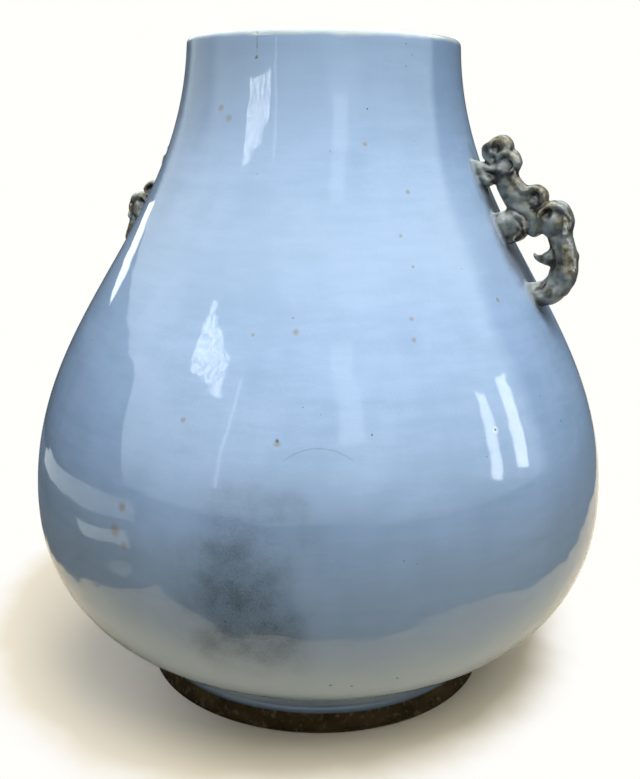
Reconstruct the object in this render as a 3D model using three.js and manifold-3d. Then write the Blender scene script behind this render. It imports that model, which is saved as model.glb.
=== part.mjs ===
import * as THREE from 'three';
import { mergeVertices } from 'three/addons/utils/BufferGeometryUtils.js';
import Module from 'manifold-3d';

const wasm = await Module();
wasm.setup();

// A two-handled porcelain vase, 420 mm tall, standing on its foot ring.
// The origin is the centre of the foot ring, on the table. +Z is up.
// One handle stands out on +X and one on -X, both set a little towards +Y, the one on -X lower.

// Driving sizes of the vessel, in millimetres
const height = 420;
const bellyRadius = 190.5;
const bellyHeight = 130.5;
const mouthRadius = 86;
const waistRadius = 112;
const footHeight = 29;
const footRadius = 117;
const footWall = 13;
const footBevel = 1.5;
const floorThickness = 12;
const wall = 8;
const neckHeight = 300;
const lipHeight = 12;

// How full the curves are: exponents of the lower belly, arm lengths of the shoulder curve
const bellyRise = 2.2;
const bellySpread = 1.66;
const shoulderReach = 117;
const neckReach = 117;
const neckFlare = 3.4;

// Driving sizes of the handles: heights of the tails' roots, skew in degrees, half depths
const rightBase = 262;
const leftBase = 255;
const handleSkew = 3.9;
const clearance = 0.3;
const rollDepth = 7.2;
const curlDepth = 8.2;
const eyeDepth = 1.6;

// Shares that keep small strips and curls rounder than the large ones
const rollRoundness = 1.4;
const curlRoundness = 1.25;
const eyeShare = 0.35;
const ridgeShare = 0.6;

// Fineness of the facets
const turns = 48;
const rollSides = 10;
const rollSteps = 3;
const curlSides = 16;

// Colours of the finishes
const glazeBlue = { color: 0x9fbfe0, roughness: 0.12, metalness: 0 };
const glazePale = { color: 0xcfd9dd, roughness: 0.14, metalness: 0 };
const glazeIron = { color: 0x7f8680, roughness: 0.2, metalness: 0 };
const footClay = { color: 0x5a4634, roughness: 0.8, metalness: 0 };

const vase = new THREE.Group();

// Shoulder and neck: one curve from the widest belly up to the mouth
const shoulder = new THREE.CubicBezierCurve(
  new THREE.Vector2(bellyRadius, bellyHeight),
  new THREE.Vector2(bellyRadius, bellyHeight + shoulderReach),
  new THREE.Vector2(mouthRadius + neckFlare, height - neckReach),
  new THREE.Vector2(mouthRadius, height),
);

// Radius of the shoulder curve at a height, found by halving
function shoulderRadius(z) {
  let low = 0;
  let high = 1;
  for (let i = 0; i < 40; i += 1) {
    const middle = (low + high) / 2;
    if (shoulder.getPoint(middle).y < z) low = middle;
    else high = middle;
  }
  return shoulder.getPoint(high).x;
}

// Outer radius of the vessel at a height above the table
function outerRadius(z) {
  if (z > bellyHeight) return shoulderRadius(z);
  const drop = (bellyHeight - z) / (bellyHeight - footHeight);
  const width = (1 - drop ** bellyRise) ** (1 / bellySpread);
  return waistRadius + (bellyRadius - waistRadius) * width;
}

// Inner radius: the wall keeps its thickness square to the slope
function innerRadius(z) {
  const step = 0.5;
  const slope = (outerRadius(z + step) - outerRadius(z - step)) / (2 * step);
  return outerRadius(z) - wall * Math.hypot(1, slope);
}

function heights(bottom, top, steps) {
  return Array.from({ length: steps + 1 }, (_, i) => bottom + ((top - bottom) * i) / steps);
}

// Turn a closed outline of radius and height around the Z axis
function turned(outline) {
  const closed = [...outline, outline[0].clone()];
  const geometry = new THREE.LatheGeometry(closed, turns);
  geometry.rotateX(Math.PI / 2);
  return solid(geometry);
}

// Make a closed geometry into a solid with its faces outwards
function solid(source) {
  const geometry = source.clone();
  geometry.deleteAttribute('normal');
  geometry.deleteAttribute('uv');
  const merged = mergeVertices(geometry, 1e-4);
  const vertProperties = new Float32Array(merged.attributes.position.array);
  const triVerts = new Uint32Array(merged.index.array);
  const kept = [];
  for (let i = 0; i < triVerts.length; i += 3) {
    const [a, b, c] = triVerts.slice(i, i + 3);
    if (a !== b && b !== c && c !== a) kept.push(a, b, c);
  }
  if (signedVolume(vertProperties, kept) < 0) kept.reverse();
  const mesh = new wasm.Mesh({ numProp: 3, vertProperties, triVerts: new Uint32Array(kept) });
  return new wasm.Manifold(mesh);
}

function signedVolume(positions, triangles) {
  const corners = [new THREE.Vector3(), new THREE.Vector3(), new THREE.Vector3()];
  let sum = 0;
  for (let i = 0; i < triangles.length; i += 3) {
    corners.forEach((corner, k) => corner.fromArray(positions, 3 * triangles[i + k]));
    sum += corners[0].dot(corners[1].cross(corners[2]));
  }
  return sum / 6;
}

function addPiece(parent, name, body, finish) {
  const { vertProperties, triVerts } = body.getMesh();
  const geometry = new THREE.BufferGeometry();
  geometry.setAttribute('position', new THREE.BufferAttribute(vertProperties, 3));
  geometry.setIndex(new THREE.BufferAttribute(triVerts, 1));
  geometry.computeVertexNormals();
  const piece = new THREE.Mesh(geometry, new THREE.MeshStandardMaterial(finish));
  piece.name = name;
  parent.add(piece);
}

// Foot ring: leans in a little towards the waist, with small bevels at the table
function footRing() {
  const inner = footRadius - footWall;
  const innerTop = waistRadius - footWall;
  return turned([
    new THREE.Vector2(inner + footBevel, 0),
    new THREE.Vector2(footRadius - footBevel, 0),
    new THREE.Vector2(footRadius, footBevel),
    new THREE.Vector2(waistRadius, footHeight),
    new THREE.Vector2(innerTop, footHeight),
    new THREE.Vector2(inner, footBevel),
  ]);
}

// Floor of the vessel: a thick disc whose edge is the start of the belly
function baseDisc() {
  const edge = heights(footHeight, footHeight + floorThickness, 4);
  const outline = edge.map((z) => new THREE.Vector2(outerRadius(z), z));
  return turned([
    new THREE.Vector2(0, footHeight),
    ...outline,
    new THREE.Vector2(0, footHeight + floorThickness),
  ]);
}

// A ring of the wall between two flat seams
function wallRing(bottom, top, steps) {
  const levels = heights(bottom, top, steps);
  const outside = levels.map((z) => new THREE.Vector2(outerRadius(z), z));
  const inside = levels.map((z) => new THREE.Vector2(innerRadius(z), z)).reverse();
  return turned([...outside, ...inside]);
}

// Lip: the last of the wall, closed with a half round
function lipRing() {
  const seam = height - lipHeight;
  const round = wall / 2;
  const middle = (outerRadius(height - round) + innerRadius(height - round)) / 2;
  const arc = [];
  for (let i = 0; i <= 6; i += 1) {
    const angle = (Math.PI * i) / 6;
    const radius = middle + round * Math.cos(angle);
    arc.push(new THREE.Vector2(radius, height - round + round * Math.sin(angle)));
  }
  return turned([
    new THREE.Vector2(innerRadius(seam), seam),
    new THREE.Vector2(outerRadius(seam), seam),
    ...arc,
  ]);
}

// The vessel as a filled body, a clearance larger, to trim what is seated on it
function grownVessel() {
  const levels = [
    ...heights(bellyHeight, neckHeight, 8),
    ...heights(neckHeight, height - lipHeight, 5).slice(1),
  ];
  const outline = levels.map((z) => new THREE.Vector2(outerRadius(z) + clearance, z));
  return turned([
    new THREE.Vector2(0, bellyHeight),
    ...outline,
    new THREE.Vector2(0, height - lipHeight),
  ]);
}

// A place on a handle: out from the wall at that height, and up from the tail's root
function onHandle(base, out, up) {
  const z = base + up;
  return new THREE.Vector3(outerRadius(z) + out, 0, z);
}

// A rolled strip of clay through stations of [out, up, half width], grown by a margin
function roll(base, stations, margin) {
  const points = stations.map(([out, up]) => onHandle(base, out, up));
  const path = new THREE.CatmullRomCurve3(points);
  const count = (stations.length - 1) * rollSteps;
  const side = new THREE.Vector3(0, 1, 0);
  const positions = [];
  for (let i = 0; i <= count; i += 1) {
    const t = i / count;
    const centre = path.getPoint(t);
    const normal = path.getTangent(t).cross(side).normalize();
    const half = widthAt(stations, t) + margin;
    const depth = Math.min(rollDepth, half * rollRoundness) + margin;
    for (let k = 0; k < rollSides; k += 1) {
      const angle = (2 * Math.PI * k) / rollSides;
      const point = centre.clone();
      point.addScaledVector(normal, half * Math.cos(angle));
      point.addScaledVector(side, depth * Math.sin(angle));
      positions.push(...point.toArray());
    }
  }
  return solid(loft(positions, count, path.getPoint(0), path.getPoint(1)));
}

// Half width between the stations, eased from one to the next
function widthAt(stations, t) {
  const place = t * (stations.length - 1);
  const i = Math.min(Math.floor(place), stations.length - 2);
  const eased = THREE.MathUtils.smoothstep(place - i, 0, 1);
  return THREE.MathUtils.lerp(stations[i][2], stations[i + 1][2], eased);
}

// Close rings of points into a body with a fan at each end
function loft(positions, count, first, last) {
  const index = [];
  for (let i = 0; i < count; i += 1) {
    for (let k = 0; k < rollSides; k += 1) {
      const next = (k + 1) % rollSides;
      const a = i * rollSides + k;
      const b = i * rollSides + next;
      index.push(a, b, a + rollSides, b, b + rollSides, a + rollSides);
    }
  }
  const start = (count + 1) * rollSides;
  positions.push(...first.toArray(), ...last.toArray());
  for (let k = 0; k < rollSides; k += 1) {
    const next = (k + 1) % rollSides;
    index.push(start, next, k);
    index.push(start + 1, count * rollSides + k, count * rollSides + next);
  }
  const geometry = new THREE.BufferGeometry();
  geometry.setAttribute('position', new THREE.Float32BufferAttribute(positions, 3));
  geometry.setIndex(index);
  return geometry;
}

// A coiled curl: a thick round pad across the handle, with a dished eye on each face
function curl(base, [out, up, radius], margin) {
  const depth = Math.min(curlDepth, radius * curlRoundness);
  const eyeFloor = depth - Math.min(eyeDepth, depth / 4) + margin;
  const shoulderMargin = margin * Math.SQRT1_2;
  const half = [
    new THREE.Vector2(0, eyeFloor),
    new THREE.Vector2(radius * eyeShare, eyeFloor),
    new THREE.Vector2(radius * ridgeShare, depth + margin),
    new THREE.Vector2(radius * 0.86 + shoulderMargin, depth * 0.68 + shoulderMargin),
    new THREE.Vector2(radius + margin, depth * 0.3),
  ];
  const mirrored = half.map((point) => new THREE.Vector2(point.x, -point.y)).reverse();
  const geometry = new THREE.LatheGeometry([...half, ...mirrored], curlSides);
  const centre = onHandle(base, out, up);
  geometry.translate(centre.x, centre.y, centre.z);
  return solid(geometry);
}

// Curls, each as [out, up, radius]
const bigCurlAt = [37.3, 53.3, 10.6];
const shoulderCurlAt = [32.6, 67, 5.7];
const knobAt = [20.9, 95.4, 6.4];
const lowCurlAt = [22.3, 85.8, 6.8];
const lugEyeAt = [4.9, 75.3, 4.8];
const padAt = [8.3, 48.6, 9.8];

// Strips, each through stations of [out, up, half width]
const armRoll = [
  [19.7, 80.6, 6.2],
  [17.7, 74.4, 7.2],
  [19, 67.5, 8],
  [20.1, 60.2, 8],
  [21.1, 53, 7],
  [22.1, 47.4, 4.6],
];
const stemRoll = [[19.9, 93, 4.6], [19.6, 87, 5.2], [19.3, 81, 6]];
const twigRoll = [[13.4, 97, 1.4], [10.6, 93.8, 2.6], [10.2, 89.2, 2.8], [13.4, 86.5, 3]];
const upperLugRoll = [[15.7, 82.2, 4], [7.7, 81, 4.6], [1, 81.6, 5], [-6, 81.6, 5]];
const lugBackRoll = [[1.7, 81, 5], [0.3, 75.5, 4.6]];
const lowerLugRoll = [[8, 48.2, 9], [-9.6, 44, 9]];
const tailRoll = [
  [34, 41.5, 7],
  [32.5, 32.5, 8.2],
  [29.1, 24.5, 8.3],
  [22.4, 16.6, 8.2],
  [13.2, 10.6, 7.9],
  [4.2, 7.8, 7.8],
  [-6.3, 6, 8],
];
const spurRoll = [[29.3, 31.5, 6.4], [22.3, 30.6, 4.6], [17.1, 30.3, 2.9], [14.5, 31.6, 1.3]];

// The crest: top knob and lower curl on their stem, with a small twig at the back
function crest(base, margin) {
  return roll(base, stemRoll, margin)
    .add(roll(base, twigRoll, margin))
    .add(curl(base, knobAt, margin))
    .add(curl(base, lowCurlAt, margin));
}

// The upper lug: a strip from the crest to the wall that hooks down into a small curl
function upperLug(base, margin) {
  return roll(base, upperLugRoll, margin)
    .add(roll(base, lugBackRoll, margin))
    .add(curl(base, lugEyeAt, margin));
}

// The lower lug: a thick strip from the wall that ends in a broad curl
function lowerLug(base, margin) {
  return roll(base, lowerLugRoll, margin).add(curl(base, padAt, margin));
}

// One handle, each piece trimmed by the neighbours that it is luted to
function addHandle(side, angle, base) {
  const handle = new THREE.Group();
  handle.rotation.z = angle;
  const vessel = grownVessel();
  const grownBigCurl = curl(base, bigCurlAt, clearance);
  const grownArm = roll(base, armRoll, clearance);
  const grownCrest = crest(base, clearance);
  const grownTail = roll(base, tailRoll, clearance);
  const pieces = {
    large_curl: curl(base, bigCurlAt, 0),
    arm: roll(base, armRoll, 0).subtract(grownBigCurl),
    shoulder_curl: curl(base, shoulderCurlAt, 0).subtract(grownArm).subtract(grownBigCurl),
    crest: crest(base, 0).subtract(grownArm),
    upper_lug: upperLug(base, 0).subtract(vessel).subtract(grownCrest).subtract(grownArm),
    lower_lug: lowerLug(base, 0).subtract(vessel).subtract(grownArm).subtract(grownBigCurl),
    tail: roll(base, tailRoll, 0).subtract(vessel).subtract(grownBigCurl),
    spur: roll(base, spurRoll, 0).subtract(grownTail),
  };
  Object.entries(pieces).forEach(([name, body]) => {
    addPiece(handle, `${side}_${name}`, body, glazeIron);
  });
  vase.add(handle);
}

addPiece(vase, 'foot_ring', footRing(), footClay);
addPiece(vase, 'base_disc', baseDisc(), glazeBlue);
addPiece(vase, 'lower_body', wallRing(footHeight + floorThickness, bellyHeight, 6), glazeBlue);
addPiece(vase, 'upper_body', wallRing(bellyHeight, neckHeight, 8), glazeBlue);
addPiece(vase, 'neck', wallRing(neckHeight, height - lipHeight, 5), glazeBlue);
addPiece(vase, 'lip', lipRing(), glazePale);
const skew = THREE.MathUtils.degToRad(handleSkew);
addHandle('right', skew, rightBase);
addHandle('left', Math.PI - skew, leftBase);

export default vase;
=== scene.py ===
import math

import bpy
import numpy as np
from mathutils import Matrix, Vector


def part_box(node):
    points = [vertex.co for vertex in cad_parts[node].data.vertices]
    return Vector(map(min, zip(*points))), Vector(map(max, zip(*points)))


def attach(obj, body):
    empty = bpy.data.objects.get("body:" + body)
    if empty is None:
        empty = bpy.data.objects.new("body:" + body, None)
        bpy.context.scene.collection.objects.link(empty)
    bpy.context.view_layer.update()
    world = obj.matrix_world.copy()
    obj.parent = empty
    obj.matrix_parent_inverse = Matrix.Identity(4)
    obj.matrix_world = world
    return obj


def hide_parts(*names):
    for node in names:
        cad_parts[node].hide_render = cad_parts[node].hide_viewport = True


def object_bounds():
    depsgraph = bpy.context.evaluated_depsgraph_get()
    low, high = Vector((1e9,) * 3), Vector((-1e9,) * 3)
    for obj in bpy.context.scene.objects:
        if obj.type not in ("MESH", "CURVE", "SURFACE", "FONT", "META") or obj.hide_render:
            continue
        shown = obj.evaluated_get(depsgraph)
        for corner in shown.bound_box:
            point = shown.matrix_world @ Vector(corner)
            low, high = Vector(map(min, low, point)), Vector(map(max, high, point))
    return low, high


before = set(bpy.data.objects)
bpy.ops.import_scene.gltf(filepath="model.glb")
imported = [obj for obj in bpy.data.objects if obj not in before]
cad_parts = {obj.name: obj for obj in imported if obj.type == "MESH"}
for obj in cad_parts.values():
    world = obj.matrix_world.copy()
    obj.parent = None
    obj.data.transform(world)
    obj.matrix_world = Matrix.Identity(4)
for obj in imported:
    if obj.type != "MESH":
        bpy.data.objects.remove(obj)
cad_low, cad_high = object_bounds()

bl_info = {
    "name": "Two-handled zun vase",
    "version": (1, 0, 0),
    "blender": (4, 5, 0),
    "location": "View3D > Sidebar > Zun vase",
    "description": "Sky blue glazed body, bare foot and iron-washed scroll handles of a porcelain vase",
    "category": "Object",
}

MM = 0.001

# Sizes of the vessel in millimetres, from the frame where it has them
HEIGHT = cad_high.z / MM
BELLY_RADIUS = cad_high.x / MM - 0.1
BELLY_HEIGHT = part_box("upper_body")[0].z / MM
FOOT_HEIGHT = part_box("foot_ring")[1].z / MM
FOOT_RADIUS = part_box("foot_ring")[1].x / MM
FLOOR_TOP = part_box("base_disc")[1].z / MM
MOUTH_RADIUS = 86.0
WAIST_RADIUS = 112.0
FOOT_WALL = 13.0
FOOT_BEVEL = 1.5
WALL = 8.0

# How full the curves of the wall are
BELLY_RISE = 2.2
BELLY_SPREAD = 1.66
SHOULDER_REACH = 117.0
NECK_REACH = 117.0
NECK_FLARE = 3.4

# Where the glaze ends on the foot, and how thick its edge stands
GLAZE_LINE = 12.7
GLAZE_STEP = 0.45

# Handles: heights of the tails' roots, and their turn from the X axis
HANDLE_BASES = {"right": 262.0, "left": 255.0}
HANDLE_SKEW = math.radians(3.9)
HANDLE_TURNS = {"right": HANDLE_SKEW, "left": math.pi - HANDLE_SKEW}

# Clay of a handle: fillets between strips and at the wall, roundness of a section,
# unevenness coarse and fine, and the grid that holds it
STRIP_FILLET = 1.5
WALL_FILLET = 2.6
SECTION_POWER = 2.3
COARSE_CLAY = 0.26
FINE_CLAY = 0.12
GRID_START = 92.0
GRID_REACH = 81.0
GRID_DEPTH = 12.0
GRID_BELOW = 12.0
GRID_ABOVE = 106.0

# The camera of the photograph, fitted to the vase's outline
CAMERA_DISTANCE = 0.6675
CAMERA_HEIGHT = 0.3659
CAMERA_AZIMUTH = math.radians(28.9)
CAMERA_PITCH = math.radians(14.603)
CAMERA_ROLL = math.radians(0.741)
FOCAL_PIXELS = 1000.0
FRAME_HEIGHT = 779
SHIFT_PIXELS = 0.63

# Strips of clay of a handle: stations of out from the wall, up, half width, half depth
STRIPS = {
    "arm": ((19.8, 81, 6.2, 5.4), (17.6, 74.4, 7.2, 5.5), (18.9, 67.5, 8, 5.6), (20, 60.2, 8, 5.6),
        (21, 53, 7.6, 5.6), (22.4, 47.8, 5.4, 5.4)),
    "arm_edge": ((23.1, 81, 1.8, 6.2), (22.9, 75.6, 1.9, 6.3), (24.6, 71.4, 2, 6.2),
        (28.2, 69.8, 2.2, 6)),
    "curl_stem": ((20.8, 66, 4, 5.4), (29.6, 67.6, 3.6, 5)),
    "shoulder_pad": ((31.6, 66.4, 4.9, 5.4), (32.6, 66.8, 4.9, 5.4)),
    "shoulder_ring": ((26.2, 69.8, 1.6, 5.6), (30.6, 71, 2, 6.2), (34.8, 70.9, 2.1, 6.6),
        (36.9, 68.2, 2.1, 6.6), (35, 64.2, 2, 6.4), (30.6, 62.2, 1.8, 6), (28.1, 63.2, 1.3, 5.4)),
    "big_pad": ((36.6, 52.9, 9.6, 6.4), (37.8, 53.7, 9.6, 6.4)),
    "big_join": ((28.8, 60.4, 2.6, 5), (33.4, 60.8, 2.8, 5.4)),
    "big_rib": ((44.4, 54, 1.2, 7.5), (42.8, 50, 1.3, 7.6), (40.4, 45.8, 1.1, 7.4)),
    "big_ring": ((23.9, 46.6, 2.4, 6), (27.8, 52.6, 2.4, 6.6), (32.5, 58.2, 2.4, 7),
        (38.9, 61.6, 2.5, 7.2), (44.6, 60.6, 2.7, 7.2), (46, 55.6, 3, 7.1), (42.7, 49, 3.2, 6.9),
        (37.5, 42.5, 3.6, 6.6)),
    "big_boss": ((38.6, 55, 2.6, 6.9), (37.3, 50.6, 5, 7.3), (31.4, 47.4, 4.6, 6.6)),
    "stem": ((19.9, 93, 4, 4.6), (19.4, 87, 4.8, 4.8), (18.8, 80.5, 5.6, 5.2)),
    "knob_pad": ((19.8, 94.8, 5.4, 5.4), (21.4, 95.4, 5.4, 5.6)),
    "knob_ring": ((13.5, 90.2, 1.9, 5.2), (14.8, 94.8, 2.1, 5.7), (18.5, 98.6, 2.4, 6),
        (23, 99.4, 2.7, 6.2), (25.4, 96.6, 2.6, 6.3), (24, 92, 2.3, 6)),
    "knob_boss": ((15.4, 91.6, 2, 5.9), (19.6, 90.6, 2.2, 5.6)),
    "low_pad": ((21.5, 85.4, 5.6, 5.4), (22.9, 86, 5.6, 5.6)),
    "low_ring": ((18.1, 88.6, 1.8, 5.2), (21.8, 91, 2, 5.8), (26.1, 90.8, 2.3, 6.3),
        (27.8, 87.4, 2.4, 6.5), (25.3, 82.6, 2.3, 6.4), (20.5, 80.2, 2.1, 6.2), (17.3, 81.6, 1.8, 5.6)),
    "low_boss": ((27, 88.4, 2.2, 6.7), (28, 86, 2.2, 6.8)),
    "twig": ((13.8, 96.6, 1.6, 3.2), (11, 93.6, 2.6, 4.4), (10.2, 89.4, 2.6, 4.6),
        (12.5, 86.6, 2.6, 4.6)),
    "upper_lug": ((16.7, 82.2, 3.4, 4.8), (10.4, 81.8, 2.9, 4.8), (4.9, 83, 3.1, 5), (-1, 80.4, 3.4, 5),
        (-3.7, 76, 3.6, 5)),
    "upper_lug_ball": ((-1.1, 74.6, 3.4, 4.8), (4.9, 75, 3.9, 5.4)),
    "upper_lug_lobe": ((0.5, 83.5, 3.8, 5.2), (3.8, 79.4, 3.6, 5), (6.2, 75.4, 3.9, 5.4)),
    "recess_web": ((8.6, 78, 2.8, 2.8), (12.4, 74.8, 3.2, 2.6)),
    "wall_web": ((2.5, 76, 2.6, 3.2), (1.2, 71, 2, 2.8), (-0.4, 65.4, 1.5, 2.4)),
    "lower_lug": ((9.3, 49, 9.5, 6.5), (1, 47, 9.4, 6.2), (-10.9, 43.6, 9, 6.2)),
    "lug_rim": ((15.4, 55.4, 1.8, 5.2), (17.8, 52.4, 2.2, 5.9), (16.3, 47, 2.2, 6.2),
        (11, 42.2, 2.1, 6.1), (4.4, 39.6, 1.7, 5.8)),
    "tail": ((34.6, 42, 7, 5.6), (32.1, 32.5, 8, 5.8), (28.6, 24.5, 8.2, 5.8), (21.9, 16.6, 8.1, 5.8),
        (13, 10.7, 7.8, 5.8), (4.1, 7.8, 7.7, 5.8), (-6.5, 6, 8, 6)),
    "tail_ridge": ((37.6, 41, 3.8, 6.6), (35.5, 32.5, 4, 6.9), (31.7, 24.2, 4, 6.9),
        (23.7, 15.2, 3.9, 6.8), (13.6, 8.6, 3.9, 6.6), (4.3, 5.4, 4.2, 6.2)),
    "spur": ((28.9, 32, 6.2, 5), (22.1, 30.4, 4.4, 4.6), (17.3, 29.7, 2.8, 3.4), (14.7, 30.8, 1.6, 2.2),
        (14.4, 32.6, 0.8, 1.4)),
}

# Grooves cut in both faces of a handle: stations of out, up and radius
GROOVES = {
    "low_pit": ((21.2, 88.4, 0.9), (24.4, 85.4, 1.3), (22.6, 82, 0.9)),
    "big_side_groove": ((45, 58.6, 0.5), (46.2, 53.6, 0.8), (43.8, 47.6, 0.6)),
    "lug_groove": ((15, 52.4, 0.6), (16, 49.6, 1), (15.6, 46.2, 1.2), (12.6, 42.8, 1.1), (8.6, 41, 0.9)),
    "spur_groove": ((27.9, 38.6, 0.8), (27.3, 33.4, 1.2), (24.4, 27.8, 1.2), (20.5, 22.6, 0.7)),
    "arm_groove": ((8.4, 59.8, 0.8), (13.4, 59, 1), (17.5, 57, 1), (20.8, 53.8, 0.8), (19.2, 47, 0.7)),
    "curl_groove": ((26.4, 59.4, 0.8), (31.9, 60.8, 0.9), (38.2, 64.6, 0.6)),
    "tail_root_groove": ((14.3, 16.6, 0.5), (9.9, 13.2, 0.9), (5.2, 11.4, 0.8)),
}

# Round hollows pressed in both faces of a handle: out, up, radius and depth
HOLLOWS = {
    "knob_hollow": (18.1, 94, 3, 1.7),
    "shoulder_hollow": (31.9, 67.2, 3, 1.8),
    "big_hollow": (35.3, 57, 4, 2.2),
}

# Dark patches of a handle, iron stains and painted shade along its outer edges and next to the wall: out,
# up, radius and strength
STAINS_AND_PAINTED_SHADE = (
    (20.6, 94, 1.6, 0.7), (11.6, 94.5, 2.6, 0.9), (11.8, 76.7, 3.6, 1), (22.7, 79.9, 2.6, 0.9),
    (24.4, 85, 1.6, 0.6), (32.8, 66.2, 2.2, 0.7), (30.7, 61, 2.6, 0.9), (34, 59.6, 2.4, 0.6),
    (31.2, 54.6, 1.8, 0.6), (46.6, 49.5, 2.6, 0.6), (16.2, 48, 2.4, 1), (15.4, 44, 2.2, 0.9),
    (11, 40.6, 3, 1), (5, 39, 3.2, 0.9), (24, 27.5, 3.8, 1), (18, 30.6, 2.6, 0.8),
    (27.5, 39.5, 2.4, 0.8), (27, 34, 1.8, 0.6), (11.1, 14, 1.6, 0.9), (12.3, 9.4, 2, 0.9),
    (13.6, 66, 2, 0.5), (2, 68, 5, 0.9), (2.5, 1.5, 3.2, 0.9), (39.6, 30, 2.2, 0.6),
    (37.6, 22.5, 2.2, 0.6), (31, 14.5, 2.2, 0.6), (21, 7, 2.4, 0.6), (47.6, 57.5, 2.2, 0.5),
)

# Warm patches of a handle, where the glaze runs thin over iron: out, up, radius and strength
OCHRES = (
    (22.1, 98.9, 4.8, 1), (15, 97.5, 3.2, 0.9), (33, 71.5, 3.6, 1), (38.4, 69.7, 3, 0.8),
    (37, 61.5, 4, 1), (30.6, 58, 3.2, 0.9), (43, 53.8, 3, 1.2), (36.1, 35.8, 3.8, 0.8),
    (34.5, 30, 3.8, 0.9), (33.1, 25.3, 3.6, 0.8), (21.9, 73, 3.4, 0.8), (25.5, 76, 3, 0.7),
    (25.5, 49, 3, 0.6), (18.5, 52.4, 2.4, 0.7), (28, 91, 3, 0.6),
)

# Painted highlights of a handle, lighter patches where light glints on its glaze: out, up, radius and
# strength
PAINTED_HIGHLIGHTS = (
    (6, 54, 5, 0.9), (10, 50, 3.5, 0.6), (36.5, 50, 4.6, 0.7), (3.4, 12.4, 4.6, 1),
    (27.8, 87.2, 2.6, 0.8), (3, 81, 5, 0.7), (41.6, 49, 2.4, 0.8), (21.5, 66, 4, 0.4),
    (29.5, 21, 4, 0.4),
)

# Flaws of the body's glaze: degrees to the camera's right, height in mm, radius in mm
PINHOLES = (
    (-7.1, 209.2, 1.25), (9.2, 212.5, 0.55), (53, 202.7, 0.6), (30.7, 205.6, 0.4), (30.4, 195.9, 0.4),
    (-20.4, 341.1, 0.45), (-2.9, 225.5, 0.35), (0.3, 222.3, 0.3), (37.6, 290.4, 0.4), (13.8, 148, 0.5),
    (16, 145.6, 0.4), (48, 219.5, 0.4), (-14.9, 110.8, 0.6), (-59.8, 241.7, 0.5), (15.5, 377, 0.6),
    (32.4, 359.9, 0.4), (2.4, 354.2, 0.35), (32.4, 413, 0.5), (35.2, 407.1, 0.4), (-25.7, 417.4, 1.1),
    (2.7, 67.4, 0.9), (6.8, 65.6, 1), (15.2, 69.8, 0.8), (33.4, 208.7, 0.8),
)
TAN_SPOTS = (
    (-13.9, 259.2, 1.6), (-5, 261.6, 2.6), (26.5, 332.3, 2.2), (21.5, 309.3, 1.6), (46.1, 272.1, 2.2),
    (-24.9, 214.9, 2.4), (32.2, 401, 1.1), (-34.9, 164.1, 4), (-36.2, 149.5, 5.4), (-34, 143, 3.6),
    (-7.1, 207.9, 2.6), (-5.8, 268.4, 1), (-25.4, 405, 1.3), (-39.6, 376.8, 3.2), (-35, 371.3, 3),
    (14, 358, 2), (20, 267.3, 2), (19.6, 257, 2.2), (23.1, 293.2, 1.4),
)
CRATER = (33.5, 208.5, 2.4)
DRIP_ENDS = ((-25.6, 417.6, 1.3), (-25.6, 404.2, 1.2))

# Middles of the drip, the soot and the hairline arc, given the same way
DRIP_PLACE = (-25.6, 411.5)
SOOT_PLACE = (-12.6, 128.0)
ARC_CENTRE = (0.1, 179.1)
ARC_RADIUS = 28.4

# Colour of the glaze where it is thin, and how matt the bare clay is
THIN_GLAZE = (0.62, 0.7, 0.74)
CLAY_ROUGHNESS = 0.85

# How far the edges of spots stray, in metres
EDGE_WOBBLE = 0.0011
ORIGIN = (0.0, 0.0, 0.0)


def shoulder_radius(z):
    """Radius of the shoulder curve at heights above the belly."""
    t = np.linspace(0.0, 1.0, 400)
    ends = ((BELLY_RADIUS, BELLY_HEIGHT), (BELLY_RADIUS, BELLY_HEIGHT + SHOULDER_REACH),
            (MOUTH_RADIUS + NECK_FLARE, HEIGHT - NECK_REACH), (MOUTH_RADIUS, HEIGHT))
    weights = ((1 - t) ** 3, 3 * t * (1 - t) ** 2, 3 * t * t * (1 - t), t ** 3)
    radius, height = (sum(w * end[i] for w, end in zip(weights, ends)) for i in (0, 1))
    return np.interp(z, height, radius)


def outer_radius(z):
    """Outer radius of the vessel at heights z."""
    z = np.asarray(z, float)
    drop = np.clip((BELLY_HEIGHT - z) / (BELLY_HEIGHT - FOOT_HEIGHT), 0.0, 1.0)
    width = (1.0 - drop ** BELLY_RISE) ** (1.0 / BELLY_SPREAD)
    belly = WAIST_RADIUS + (BELLY_RADIUS - WAIST_RADIUS) * width
    return np.where(z > BELLY_HEIGHT, shoulder_radius(z), belly)


def wall_slope(z):
    """Change of the outer radius for each millimetre up."""
    z = np.asarray(z, float)
    return outer_radius(z + 0.5) - outer_radius(z - 0.5)


def inner_radius(z):
    """Inner radius: the wall keeps its thickness square to the slope."""
    return outer_radius(z) - WALL * np.hypot(1.0, wall_slope(z))


def on_wall(degrees, height):
    """A point of the wall in metres, from degrees to the camera's right and a height in mm."""
    radius = float(outer_radius(height))
    angle = CAMERA_AZIMUTH + math.radians(degrees)
    return (radius * math.sin(angle) * MM, -radius * math.cos(angle) * MM, height * MM)


def add(tree, kind, inputs=(), **settings):
    """Add a node: settings are its properties, inputs are values to link or plain ones."""
    node = tree.nodes.new(kind)
    for name, value in settings.items():
        setattr(node, name, value)
    pairs = inputs.items() if isinstance(inputs, dict) else enumerate(inputs)
    for key, value in pairs:
        value = value.socket if isinstance(value, Field) else value
        if isinstance(value, bpy.types.NodeSocket):
            tree.links.new(value, node.inputs[key])
        else:
            node.inputs[key].default_value = value
    return node


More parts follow.
